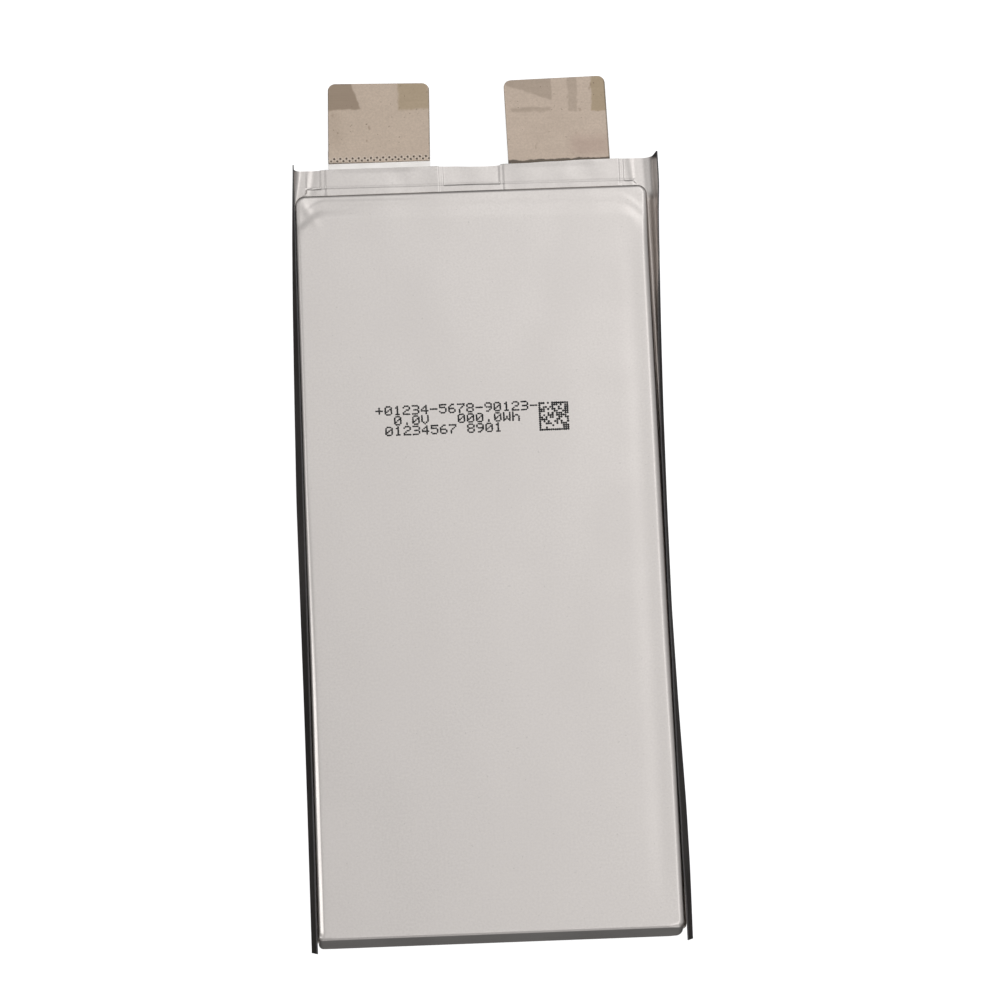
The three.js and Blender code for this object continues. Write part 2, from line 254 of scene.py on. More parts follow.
def face_relief(x, y):
    """Slow waves of the film over the plates."""
    inside = smooth(0, 9, CUP_SIDE - np.abs(x)) * smooth(0, 9, CUP_END - np.abs(y))
    return inside * sum(height * ripple(x, y, length, seed) for height, length, seed in FILM_WAVES)


def cup_grid(front):
    """The cup's face and its rounded edge, out to the top of the walls."""
    xs = edge_samples(CUP_SIDE, 44, 46)
    ys = edge_samples(CUP_END, 44, 96)
    p, q = np.meshgrid(xs, ys)
    corner = np.where(q < 0, np.where(p < 0, *LOWER_CORNERS), CUP_CORNER)
    x, y, inset = round_corners(p, q, CUP_SIDE, CUP_END, corner)
    radius = edge_radius(x, y)
    depth = np.clip(radius - inset, 0, None)
    rounding = radius - np.sqrt(np.clip(radius ** 2 - depth ** 2, 0, None))
    if front:
        drop = face_drop(x, y) * mix(0.6, 1, smooth(0, 1.2, inset))
        level = FACE - drop - face_relief(x, y) - left_slope(x, y)
    else:
        drop = REAR_DRAPE * smooth(-2, 2, y - 84) * smooth(0, 1.2, inset)
        level = FACE - drop - 0.6 * face_relief(-x, y)
    return np.dstack([x, y, level - rounding])


def border(points):
    """The outline of a grid of points, counter-clockwise seen from +Z."""
    lower, right = points[0, :-1], points[:-1, -1]
    upper, left = points[-1, :0:-1], points[:0:-1, 0]
    return np.concatenate([lower, right, upper, left])


SEAL_LINE = SEAL_EDGE - 4.95      # middle of the line that the seal bar's edge pressed
SEAL_GROOVE = 0.09                # that line's depth
EDGE_LIP = 0.075                  # rise of the film at the flange's edge, over the tabs
UNSEALED_GAP = 0.13               # least stand-off between the seal line and the cup
STEP_SOFTNESS = 0.2
FLANGE_WAVE, LEFT_FOLD, RIGHT_FOLD = 0.045, 0.05, 0.06


def flange_steps():
    """Where the film steps up onto each tab's sealant and down again: two low steps at each side."""
    left, right, half = -TAB_OFFSET, TAB_OFFSET, SEALANT_WIDTH / 2
    return ((left - half, left - half + 1.2), (left + half, left + half + 1.0),
            (right - half - 0.3, right - half + 0.7), (right + half + 0.1, right + half + 1.1))


def flange_stand(x):
    """How far the flange's film stands off the seam, over the tabs."""
    rise = []
    for pair in flange_steps():
        steps = [smooth(step - STEP_SOFTNESS, step + STEP_SOFTNESS, x) for step in pair]
        rise.append(sum(steps) / 2)
    return TAB_BULGE * (rise[0] - rise[1] + rise[2] - rise[3])


def flange_height(x, y):
    """The film's outside on the top flange: stood off over the tabs, pressed down along the seal bar."""
    seal_line = SEAL_LINE - 0.006 * x + 0.15 * bell(0, 7, x)
    unsealed = smooth(seal_line + 0.12, seal_line - 0.4, y) * smooth(40.9, 37.5, np.abs(x))
    over_tabs = smooth(12, 7, np.abs(np.abs(x) - TAB_OFFSET))
    lip = EDGE_LIP * over_tabs * smooth(SEAL_EDGE - 1.4, SEAL_EDGE + 0.1, y)
    groove = bell(seal_line + 0.1, 0.2, y) * smooth(41, 39, np.abs(x))
    stand = mix(flange_stand(x), np.maximum(flange_stand(x), UNSEALED_GAP), unsealed)
    wave = FLANGE_WAVE * ripple(x, y, 5, 1.3) * smooth(41.1, 38, np.abs(x))
    # the flange's outer ends fold a little where the wings turn up
    past = y - CUP_END
    left_folds = bell(-39.4 + 0.16 * past, 0.7, x) - bell(-38.0 + 0.1 * past, 0.9, x)
    right_folds = bell(39.0 - 0.1 * past, 0.8, x) - bell(40.2, 0.7, x)
    wave += smooth(0.6, 2, past) * (LEFT_FOLD * left_folds + RIGHT_FOLD * right_folds)
    return SEAM + FILM + stand - SEAL_GROOVE * groove + lip + wave


def cup_walls(outline):
    """From the rounded edge down to the seam, with a small foot where the film turns outwards."""
    x, y, top = outline.T
    ahead, behind = np.roll(outline, -1, 0), np.roll(outline, 1, 0)
    run = (ahead - behind)[:, :2]
    run /= np.linalg.norm(run, axis=1)[:, None]
    out_x, out_y = run[:, 1], -run[:, 0]
    footed = smooth(-0.75, -0.2, out_y)
    landing = flange_height(x + out_x * CUP_FOOT, np.full_like(x, CUP_END + CUP_FOOT))
    flange = np.where(y > CUP_END - 1.5, landing, SEAM + FILM)
    floor = mix(np.full_like(x, SEAM), flange + 0.01, footed)
    rows = [outline]
    straight_end = floor + CUP_FOOT * footed
    for share in np.linspace(0, 1, 7)[1:]:
        rows.append(np.column_stack([x, y, mix(top, straight_end, share)]))
    for angle in np.linspace(0, math.pi / 2, 7)[1:]:
        reach = CUP_FOOT * (1 - math.cos(angle)) * footed
        height = floor + CUP_FOOT * footed * (1 - math.sin(angle))
        rows.append(np.column_stack([x + out_x * reach, y + out_y * reach, height]))
    return np.array(rows)


# ---- pouch: side wings and top flange ----

def flange_edge(x):
    """The cut edge of the top seal is a little uneven, and further out at the right."""
    drift = 0.45 * smooth(6, 33, x) - 0.3 * bell(3, 6, x)
    return SEAL_EDGE - 0.15 + drift + 0.06 * ripple(x, 0 * x, 4, 5.5)


WING_START = 41.2                 # where a wing's flat foot begins, beside the cup
FREE_WING_START = 38.9            # above the cup the flange starts to curl up further in
WING_CLOSEST = 41.78              # a wing's top edge rests against the cup's side
WING_TOP = 10.3                   # height of the wings' top edges
WING_WAVE = 0.12                  # how far those edges wander
EAR_START = -86.0                 # from here down a wing's top edge runs on further than its foot
EAR_FOOT = -89.8                  # the lowest place of an ear's foot
FLANGE_START = CUP_END - 0.6
# Along a wing: distance up the cell, fold line, top edge's offset from the fold line, fold radius.
LEFT_WING = np.array([
    [-92, 43.05, -1.2, 0.35], [-60, 43.05, -1.3, 0.35], [-35, 43.1, -1.35, 0.35],
    [-10, 43.25, -1.5, 0.35], [15, 43.4, -1.65, 0.35], [40, 43.15, -1.4, 0.35],
    [63, 42.85, -1.1, 0.35], [80, 42.5, -0.75, 0.35], [90, 42.15, -0.4, 0.9], [98, 41.8, -0.05, 2.0],
])
RIGHT_WING = np.array([
    [-92, 43.35, -1.2, 0.4], [-75, 43.55, -1.6, 0.4], [-60, 43.45, -1.6, 0.4], [-36, 42.85, -1.0, 0.4],
    [-13, 42.5, -0.7, 0.4], [11, 42.65, -0.8, 0.4], [35, 42.95, -0.9, 0.7], [50, 43.25, -0.8, 1.2],
    [60, 43.5, -0.5, 1.6], [70, 43.8, -0.2, 2.0], [80, 43.9, 0.1, 2.3], [90, 43.95, 0.5, 2.5],
    [98, 43.95, 0.5, 2.8],
])


def along_wing(table, column, y):
    """A value along the wing, eased between the table's places."""
    fine = np.linspace(table[0, 0], table[-1, 0], 400)
    coarse = np.interp(fine, table[:, 0], table[:, column])
    kernel = np.hanning(25)
    padded = np.pad(coarse, 12, mode="edge")
    eased = np.convolve(padded, kernel / kernel.sum(), mode="valid")
    return np.interp(y, fine, eased)


def wing_section(hand, y, offset):
    """One film of a folded side seal, across the wing, from its foot to its top edge.

    hand is -1 at the left. offset is how far the film's outside lies from the seal plane, to the front.
    """
    table = LEFT_WING if hand < 0 else RIGHT_WING
    fold, lean, radius = (along_wing(table, column, y) for column in (1, 2, 3))
    lean = max(lean + WING_WAVE * float(ripple(y, 0, 11, 4.4 * hand)), WING_CLOSEST - fold)
    top = WING_TOP + WING_WAVE * float(ripple(y, 0, 14, 2.2 * hand))
    flat_end = fold - radius - 0.05
    start = mix(WING_START, FREE_WING_START, float(smooth(CUP_END + 0.4, CUP_END + 2.5, y)))
    start = min(mix(start, flat_end, float(smooth(-87, -91, y))), flat_end)
    centre = np.array([fold - radius, SEAM + radius])
    end_angle = math.pi / 2 - math.atan2(lean, top - SEAM - radius)
    path = [np.array([x, SEAM + offset]) for x in np.linspace(start, centre[0], 6)[:-1]]
    for angle in np.linspace(0, end_angle, 11):
        path.append(centre + (radius - offset) * np.array([math.sin(angle), -math.cos(angle)]))
    direction = np.array([math.cos(end_angle), math.sin(end_angle)])
    bent = path[-1]
    length = (top - bent[1]) / direction[1]
    path += [bent + direction * length * share for share in np.linspace(0, 1, 9)[1:]]
    path = np.array(path)
    rise = np.linspace(0, 1, len(path)) ** 1.3
    places = np.full(len(path), y)
    if y < EAR_START:
        share = (EAR_START - y) / (EAR_START - EAR_END)
        places = mix(EAR_START, mix(EAR_FOOT, EAR_END, rise), share)
    return np.column_stack([hand * path[:, 0], places, path[:, 1]])


def wing_grid(hand, offset):
    """A wing from the end of its ear to the top flange."""
    ear = np.linspace(EAR_END, EAR_START, 16)
    stations = np.concatenate([ear, np.linspace(EAR_START, FLANGE_START, 120)[1:]])
    return np.array([wing_section(hand, y, offset) for y in stations])


def flange_grid(front):
    """The top flange with both wings' ends, as one sheet."""
    offset = FILM if front else -FILM
    spans = ((0, 0.45, 22), (0.45, 0.6, 14), (0.6, 1, 14))
    shares = np.unique(np.concatenate([np.linspace(*span) for span in spans]))
    rows = []
    for share in shares:
        reach = mix(FLANGE_START, SEAL_EDGE, share)
        left, right = (wing_section(hand, reach, offset) for hand in (-1, 1))
        xs = np.linspace(left[0, 0], right[0, 0], 661)[1:-1]
        ys = mix(FLANGE_START, flange_edge(xs), share)
        heights = flange_height(xs, ys)
        if not front:
            heights = 2 * SEAM - heights
        left[:, 1] = mix(FLANGE_START, flange_edge(left[:, 0]), share)
        right[:, 1] = mix(FLANGE_START, flange_edge(right[:, 0]), share)
        rows.append(np.concatenate([left[::-1], np.column_stack([xs, ys, heights]), right]))
    return np.array(rows)


def pouch_film(name, front):
    """One half of the laminate: cup, flange and wings. The rear half mirrors the front in the seam."""
    surface = Surface()
    cup = cup_grid(front)
    walls = cup_walls(border(cup))
    for points, closed in ((cup, False), (walls, True)):
        grid = points.copy()
        if not front:
            grid[..., 2] = 2 * SEAM - grid[..., 2]
        surface.grid(grid, closed, flip=closed == front)
    surface.grid(flange_grid(front), flip=not front)
    for hand in (-1, 1):
        wing = wing_grid(hand, FILM if front else -FILM)
        surface.grid(wing, flip=(hand > 0) != front)
    film = surface.to_object(name, weld=0.002)
    for finish in ("laminate_film", "film_cut_edge"):
        film.data.materials.append(materials[finish])
    thick = film.modifiers.new("film_thickness", "SOLIDIFY")
    thick.thickness = FILM * MM
    thick.offset = -1
    thick.use_rim = True
    thick.material_offset_rim = 1
    return film


def apply_modifiers(obj):
    """Bakes an object's modifiers into its mesh."""
    evaluated = obj.evaluated_get(bpy.context.evaluated_depsgraph_get())
    final = bpy.data.meshes.new_from_object(evaluated)
    obj.modifiers.clear()
    obj.data = final
    return obj


# ---- tabs ----

LEAD_START = lead_low[1]
PLATE_START = plate_low[1]
STUB_END = PLATE_START + 3.2      # the aluminium lead ends under the nickel plate
LEAD_FALL = 0.055                 # fall of its top per millimetre past the seal
THINNING = 0.02                   # the negative tab is this much thinner at each face past the bend
POSITIVE_TILT = math.radians(-1.4)       # each tab stands a little askew
NEGATIVE_TILT = math.radians(1.0)
# Rows along a strip from inside the seal to past the bend line, packed where it bends.
BEND_ROWS = np.concatenate([np.linspace(LEAD_START, 97.4, 8), np.linspace(97.6, 98.9, 14)])
TIP_ROWS = TAB_TIP - np.array([2.4, 1.8, 1.3, 0.9, 0.55, 0.25, 0.0])


def in_place(p, q):
    """Leaves a slab's grid square."""
    return p, q


def flat_at(height):
    """A flat face at the given height, for slab."""
    return lambda x, y: np.full_like(x, height)


def slab(name, xs, ys, place, top, bottom, bevel):
    """A closed plate.

    place carries the flat grid to its outline; top and bottom give the two faces' heights.
    """
    p, q = np.meshgrid(xs, ys)
    x, y = place(p, q)
    surface = Surface()
    upper = np.dstack([x, y, top(x, y)])
    lower = np.dstack([x, y, bottom(x, y)])
    surface.grid(upper)
    surface.grid(lower, flip=True)
    rim = np.array([border(lower), border(upper)])
    surface.grid(rim, closed=True)
    plate = surface.to_object(name, weld=0.0005)
    if bevel:
        soft = plate.modifiers.new("soft_edge", "BEVEL")
        soft.width = bevel * MM
        soft.segments = 2
        soft.limit_method = "ANGLE"
        soft.angle_limit = math.radians(60)
        apply_modifiers(plate)
    return plate


def blade_place(centre, tilt, start):
    """Rounds a blade's outer corners and leans it about the middle of the bend line."""
    half = TAB_WIDTH / 2

    def place(p, q):
        across = p - centre
        u = (np.abs(across) - (half - TAB_CORNER)) / TAB_CORNER
        v = (q - (TAB_TIP - TAB_CORNER)) / TAB_CORNER
        corner = (u > 0) & (v > 0)
        round_u, round_v = to_disc(u, v)
        rounded = half - TAB_CORNER + TAB_CORNER * round_u
        across = np.where(corner, np.sign(across) * rounded, across)
        y = np.where(corner, TAB_TIP - TAB_CORNER + TAB_CORNER * round_v, q)
        along = np.clip(y - BEND_LINE, 0, None)
        share = smooth(start, start + 6, y)
        return centre + across - along * math.sin(tilt), y + share * across * math.sin(tilt)

    return place


def across_samples(centre, count):
    """Coordinates across a tab, packed near its edges."""
    edge = np.array([0, 0.25, 0.55, 0.9, 1.3, 1.8, 2.4])
    half = TAB_WIDTH / 2
    middle = np.linspace(-half + 3, half - 3, count)
    return centre + np.concatenate([-half + edge, middle, (half - edge)[::-1]])


def positive_lead_strip():
    """The aluminium lead. Its top falls a little past the seal, towards the nickel plate."""
    rows = np.concatenate([BEND_ROWS, np.linspace(99.2, STUB_END, 5)])

    def top(x, y):
        return lead_high[2] - LEAD_FALL * np.clip(y - 97.9, 0, 2)

    xs = across_samples(-TAB_OFFSET, 15)
    return slab("positive_lead_strip", xs, rows, in_place, top, flat_at(lead_low[2]), 0.05)


def negative_tab_strip():
    """The negative tab in one piece, a little thinner past the bend line."""
    low, high = node_box("negative_tab_lead")
    rows = np.concatenate([BEND_ROWS, np.linspace(99.4, TAB_TIP - 3, 24), TIP_ROWS])

    def top(x, y):
        return high[2] - THINNING * smooth(99, 104, y)

    def bottom(x, y):
        return low[2] + THINNING * smooth(99, 104, y)

    xs = across_samples(TAB_OFFSET, 25)
    place = blade_place(TAB_OFFSET, NEGATIVE_TILT, 99.5)
    return slab("negative_tab_strip", xs, rows, place, top, bottom, 0.06)


PLATE_MIDDLE = -TAB_OFFSET + 0.25        # the plate sits a little to the right on its tab
PLATE_FINE = 9.6                  # half the width of the plate's closely sampled middle
WELD_PITCH = 1.455
WELD_ROWS = ((0.52, 15), (1.12, 16))     # distance above the plate's lower edge, number of spots
WELD_DEPTH, WELD_RIM = 0.11, 0.02        # each pit, and the low ring pushed up round it


def weld_marks(x, y):
    """Depth of the weld spots, two staggered rows along the nickel plate's lower edge."""
    depth = np.zeros_like(x)
    for rise, count in WELD_ROWS:
        for i in range(count):
            spot_x = PLATE_MIDDLE + (i - (count - 1) / 2) * WELD_PITCH
            away = np.hypot(x - spot_x, y - (PLATE_START + rise))
            pit = WELD_DEPTH * np.exp(-(away / 0.22) ** 2)
            rim = WELD_RIM * np.exp(-((away - 0.38) / 0.08) ** 2)
            depth += pit - rim
    return depth


def positive_plate():
    """The nickel plate of the positive tab, with its weld spots pressed in."""
    edges = across_samples(-TAB_OFFSET, 2)
    middle = np.linspace(-TAB_OFFSET - PLATE_FINE, -TAB_OFFSET + PLATE_FINE, 240)
    beside = np.linspace(PLATE_FINE, 11.4, 20)
    xs = np.concatenate([edges[:7], middle, edges[-7:], -TAB_OFFSET + beside, -TAB_OFFSET - beside])
    xs = np.unique(np.round(xs, 3))
    welded = PLATE_START + np.concatenate([[0, 0.1, 0.25], np.linspace(0.3, 1.6, 20), [1.9, 2.5, 3.2]])
    rows = np.concatenate([welded, np.linspace(PLATE_START + 4, TAB_TIP - 3, 18), TIP_ROWS])

    def top(x, y):
        return plate_high[2] - weld_marks(x, y) - 0.02

    place = blade_place(-TAB_OFFSET, POSITIVE_TILT, PLATE_START)
    return slab("positive_plate", xs, rows, place, top, flat_at(plate_low[2]), 0.04)


SEALANT_ROWS = np.array([90.0, 90.1, 91.5, 93.0, 95.0, 96.5, 97.0, 97.4, 97.5])


def sealant(name, centre, side):
    """Tab sealant film: thin over the tab; past the tab's sides the two films meet and feather out."""
    half = SEALANT_WIDTH / 2 - 0.03
    left = np.linspace(-half, -11.9, 14)
    over_tab = np.linspace(-11, 11, 7)
    xs = centre + np.concatenate([left, over_tab, -left[::-1]])

    def outer(x, y):
        return SEAM + side * np.maximum(flange_stand(x) - 0.008, 0.03)

    def inner(x, y):
        return SEAM + side * (0.004 + 0.2 * smooth(12.6, 12.25, np.abs(x - centre)))

    top, bottom = (outer, inner) if side > 0 else (inner, outer)
    return slab(name, xs, SEALANT_ROWS, in_place, top, bottom, 0)


# ---- ink marking ----

GLYPHS = {
    "0": "01110 10001 10011 10101 11001 10001 01110", "1": "00100 01100 00100 00100 00100 00100 01110",
    "2": "01110 10001 00001 00110 01000 10000 11111", "3": "11110 00001 00001 01110 00001 00001 11110",
    "4": "00010 00110 01010 10010 11111 00010 00010", "5": "11111 10000 11110 00001 00001 10001 01110",
    "6": "00110 01000 10000 11110 10001 10001 01110", "7": "11111 00001 00010 00100 01000 01000 01000",
    "8": "01110 10001 10001 01110 10001 10001 01110", "9": "01110 10001 10001 01111 00001 00010 01100",
    "V": "10001 10001 10001 10001 10001 01010 00100", "W": "10001 10001 10001 10101 10101 11011 10001",
    "h": "10000 10000 10110 11001 10001 10001 10001", "+": "00000 00100 00100 11111 00100 00100 00000",
    "-": "00000 00000 00000 11111 00000 00000 00000", ".": "00000 00000 00000 00000 00000 00100 00100",
}
MARK_LINES = ("+01234-5678-90123-", "  0.0V   000.0Wh", " 01234567 8901")
MARK_CORNER = (-24.2, 36.25)      # upper left corner of the first line
CHARACTER_PITCH = 2.12
LINE_PITCH = 2.5
DOT_PITCH = (0.35, 0.325)         # between the dots of a character, across and down
DOT_RADIUS = 0.225
DOT_SIDES = 10
DOT_RINGS = ((1.0, -0.006), (1.0, 0.004), (0.55, 0.011))     # share of the radius, height off the film
DOT_SCATTER = 0.012
MARK_TURN = math.radians(0.25)
CODE_CORNER = (13.9, 35.7)
CODE_SIZE = 7.0
CODE_CELLS = 14


def face_level(x, y):
    """Height of the front face well inside its edges, where the ink lies."""
    x, y = np.asarray(x, float), np.asarray(y, float)
    return FACE - face_drop(x, y) - face_relief(x, y)


def character_dots():
    """The dots of the printed lines: distance along and up from the first line's corner, and radius."""
    dots = []
    for row, line in enumerate(MARK_LINES):
        for column, character in enumerate(line):
            for r, bits in enumerate(GLYPHS.get(character, "").split()):
                for c, bit in enumerate(bits):
                    if bit == "1":
                        along = column * CHARACTER_PITCH + c * DOT_PITCH[0]
                        dots.append((along, -row * LINE_PITCH - r * DOT_PITCH[1], DOT_RADIUS))
    return dots


def code_dots(draw):
    """The dots of the square pattern: random cells inside a plain border."""
    cell = CODE_SIZE / CODE_CELLS
    last = CODE_CELLS - 1
    dots = []
    for r in range(CODE_CELLS):
        for c in range(CODE_CELLS):
            at_border = c == 0 or r == last or (r == 0 and c % 2 == 0) or (c == last and r % 2 == 1)
            if at_border or draw.random() < 0.5:
                along = CODE_CORNER[0] - MARK_CORNER[0] + c * cell
                up = CODE_CORNER[1] - MARK_CORNER[1] - r * cell
                dots.append((along, up, cell * 0.56))
    return dots


def add_dot(surface, x, y, radius):
    """Adds one closed round dot, a few microns thick, lying on the film."""
    angles = np.linspace(0, 2 * math.pi, DOT_SIDES, endpoint=False)
    level = face_level(x, y)
    rings = []
    for scale, lift in DOT_RINGS:
        reach = radius * scale
        heights = np.full(DOT_SIDES, level + lift)
        rings.append(np.column_stack([x + reach * np.cos(angles), y + reach * np.sin(angles), heights]))
    first = surface.count
    last_ring = first + (len(rings) - 1) * DOT_SIDES
    surface.grid(np.array(rings), closed=True)
    surface.faces.append(tuple(last_ring + i for i in range(DOT_SIDES)))
    surface.faces.append(tuple(first + i for i in reversed(range(DOT_SIDES))))


def ink_marking():
    """Inkjet dots on the front film: three lines of characters and a square pattern."""
    draw = random.Random(12)
    surface = Surface()
    turn_cos, turn_sin = math.cos(MARK_TURN), math.sin(MARK_TURN)
    for along, up, radius in character_dots() + code_dots(draw):
        along += draw.gauss(0, DOT_SCATTER)
        up += draw.gauss(0, DOT_SCATTER)
        radius *= draw.uniform(0.9, 1.1)
        x = MARK_CORNER[0] + along * turn_cos - up * turn_sin
        y = MARK_CORNER[1] + along * turn_sin + up * turn_cos
        add_dot(surface, x, y, radius)
    return surface.to_object("ink_marking")


# ---- materials ----

REST_PLACE = "rest_place"


def keep_places(obj):
    """Stores each point's place at rest, so that a strip's paint stays with the metal when it bends."""
    places = np.zeros(len(obj.data.vertices) * 3, np.float32)
    obj.data.vertices.foreach_get("co", places)
    kept = obj.data.attributes.new(REST_PLACE, "FLOAT_VECTOR", "POINT")
    kept.data.foreach_set("vector", places)


class Paint:
    """A node material, and short ways to add nodes to it.

    bends is for pieces that change shape in motion: the paint then reads the places kept at rest.
    """

    def __init__(self, name, metallic, roughness, base, bends=False):
        self.material = bpy.data.materials.new(name)
        self.material.use_nodes = True
        self.tree = self.material.node_tree
        self.shader = self.tree.nodes["Principled BSDF"]
        self.finish(Metallic=metallic, Roughness=roughness, Base_Color=(*base, 1))
        if bends:
            self.place = self.add("ShaderNodeAttribute", attribute_name=REST_PLACE).outputs["Vector"]
        else:
            self.place = self.add("ShaderNodeTexCoord").outputs["Object"]

    def add(self, kind, **settings):
        """A new node with the given settings."""
        node = self.tree.nodes.new(kind)
        for key, value in settings.items():
            setattr(node, key, value)
        return node

    def feed(self, socket, value):
        """Links a socket to value, or sets it if value is a constant."""
        if isinstance(value, bpy.types.NodeSocket):
            self.tree.links.new(value, socket)
        else:
            socket.default_value = value

    def stretch(self, scale, turn=0.0, shift=(0, 0, 0)):
        """Places measured in units of scale, in millimetres along each axis."""
        node = self.add("ShaderNodeMapping", vector_type="TEXTURE")
        self.feed(node.inputs["Vector"], self.place)
        node.inputs["Location"].default_value = [v * MM for v in shift]
        node.inputs["Rotation"].default_value[2] = turn
        node.inputs["Scale"].default_value = [v * MM for v in scale]
        return node.outputs["Vector"]

    def grain(self, scale, detail=2.0, turn=0.0, shift=(0, 0, 0), rough=0.5):
        """Noise with features of about the given size, in millimetres along each axis."""
        node = self.add("ShaderNodeTexNoise")
        self.feed(node.inputs["Vector"], self.stretch(scale, turn, shift))
        node.inputs["Scale"].default_value = 1.0
        node.inputs["Detail"].default_value = detail
        node.inputs["Roughness"].default_value = rough
        return node.outputs["Fac"]

    def span(self, value, low, high, out_low=0.0, out_high=1.0):
        """Carries low to high onto out_low to out_high, with soft ends."""
        node = self.add("ShaderNodeMapRange", interpolation_type="SMOOTHSTEP")
        self.feed(node.inputs["Value"], value)
        limits = {"From Min": low, "From Max": high, "To Min": out_low, "To Max": out_high}
        for key, setting in limits.items():
            node.inputs[key].default_value = setting
        return node.outputs["Result"]

    def math(self, operation, a, b=0.0):
        """The result of an operation on one or two values."""
        node = self.add("ShaderNodeMath", operation=operation)
        self.feed(node.inputs[0], a)
        self.feed(node.inputs[1], b)
        return node.outputs[0]

    def blend(self, share, a, b):
        """Colour a at share 0, colour b at share 1."""
        node = self.add("ShaderNodeMix", data_type="RGBA")
        self.feed(node.inputs[0], share)
        for socket, value in ((node.inputs[6], a), (node.inputs[7], b)):
            self.feed(socket, value if isinstance(value, bpy.types.NodeSocket) else (*value, 1))
        return node.outputs[2]

    def axis(self, letter):
        """A coordinate in millimetres."""
        node = self.add("ShaderNodeSeparateXYZ")
        self.feed(node.inputs[0], self.place)
        return self.math("MULTIPLY", node.outputs[letter], 1 / MM)

    def bump(self, height, distance, strength):
        """Relief of the given depth in millimetres."""
        node = self.add("ShaderNodeBump")
        self.feed(node.inputs["Height"], height)
        node.inputs["Distance"].default_value = distance * MM
        node.inputs["Strength"].default_value = strength
        return node.outputs["Normal"]

    def patch(self, centre, size, softness, turn=0.0, wobble=0.6):
        """1 inside a box of the given size with a soft uneven outline, 0 outside."""
        node = self.add("ShaderNodeVectorMath", operation="ADD")
        waves = self.add("ShaderNodeTexNoise")
        self.feed(waves.inputs["Vector"], self.stretch((2.2, 2.2, 2.2)))
        waves.inputs["Scale"].default_value = 1.0
        waves.inputs["Detail"].default_value = 3.0
        shift = self.add("ShaderNodeVectorMath", operation="MULTIPLY_ADD")
        self.feed(shift.inputs[0], waves.outputs["Color"])
        shift.inputs[1].default_value = (wobble * MM * 2,) * 3
        shift.inputs[2].default_value = (-wobble * MM,) * 3
        self.feed(node.inputs[0], self.place)
        self.feed(node.inputs[1], shift.outputs[0])
        local = self.add("ShaderNodeMapping", vector_type="TEXTURE")
        self.feed(local.inputs["Vector"], node.outputs[0])
        local.inputs["Location"].default_value = (centre[0] * MM, centre[1] * MM, 0)
        local.inputs["Rotation"].default_value[2] = turn
        parts = self.add("ShaderNodeSeparateXYZ")
        self.feed(parts.inputs[0], local.outputs[0])
        shares = []
        for index in (0, 1):
            away = self.math("ABSOLUTE", parts.outputs[index])
            half = size[index] / 2 * MM
            shares.append(self.span(away, half - softness * MM, half + softness * MM, 1, 0))
        return self.math("MULTIPLY", *shares)

    def spots(self, first, pitch, radius, softness):
        """1 at the middle of each spot in an endless row along x, 0 between them."""
        along = self.math("SUBTRACT", self.axis("X"), first[0] - pitch / 2)
        along = self.math("SUBTRACT", self.math("FLOORED_MODULO", along, pitch), pitch / 2)
        up = self.math("SUBTRACT", self.axis("Y"), first[1])
        squares = self.math("ADD", self.math("POWER", along, 2.0), self.math("POWER", up, 2.0))
        away = self.math("SQRT", squares)
        return self.span(away, radius - softness, radius + softness, 1, 0)

    def finish(self, **inputs):
        """Feeds the shader and gives back the material."""
        for key, value in inputs.items():
            self.feed(self.shader.inputs[key.replace("_", " ")], value)
        return self.material


def laminate_material():
    """The laminate's bright outside: a fine mottle, slow clouds and a few dark specks."""
    paint = Paint("laminate_film", 1.0, 0.3, (0.7, 0.68, 0.66))
    mottle = paint.grain((0.55, 0.55, 0.55), 4.0, rough=0.65)
    cloud = paint.grain((16, 22, 16), 2.0)
    speck = paint.span(paint.grain((0.7, 0.7, 0.7), 1.0, shift=(31, 7, 0)), 0.74, 0.8, 0, 0.35)
    tone = paint.blend(paint.span(mottle, 0.3, 0.7), (0.665, 0.627, 0.603), (0.725, 0.687, 0.661))
    tone = paint.blend(paint.span(cloud, 0.3, 0.7, 0, 0.35), tone, (0.66, 0.623, 0.6))
    tone = paint.blend(speck, tone, (0.45, 0.43, 0.41))
    relief = paint.bump(mottle, 0.006, 0.6)
    rough = paint.span(cloud, 0.3, 0.7, 0.28, 0.33)
    return paint.finish(Base_Color=tone, Roughness=rough, Normal=relief)


def metal_material(name, base, worn, roughness, brush, depth, bends=False):
    """Rolled metal with soft uneven oxide. brush is the size of its fine lines along each axis."""
    paint = Paint(name, 1.0, roughness, base, bends)
    lines = paint.grain(brush, 3.0)
    cloud = paint.grain((5, 7, 5), 3.0)
    tone = paint.blend(paint.span(cloud, 0.35, 0.65), base, worn)
    rough = paint.span(lines, 0.3, 0.7, roughness - 0.05, roughness + 0.07)
    return paint.finish(Base_Color=tone, Roughness=rough, Normal=paint.bump(lines, depth, 0.5))


# The weld spots' pale halo and dark core: radius, softness, share, colour.
WELD_TONES = ((0.5, 0.14, 0.35, (0.74, 0.66, 0.58)), (0.25, 0.09, 0.85, (0.075, 0.055, 0.04)))


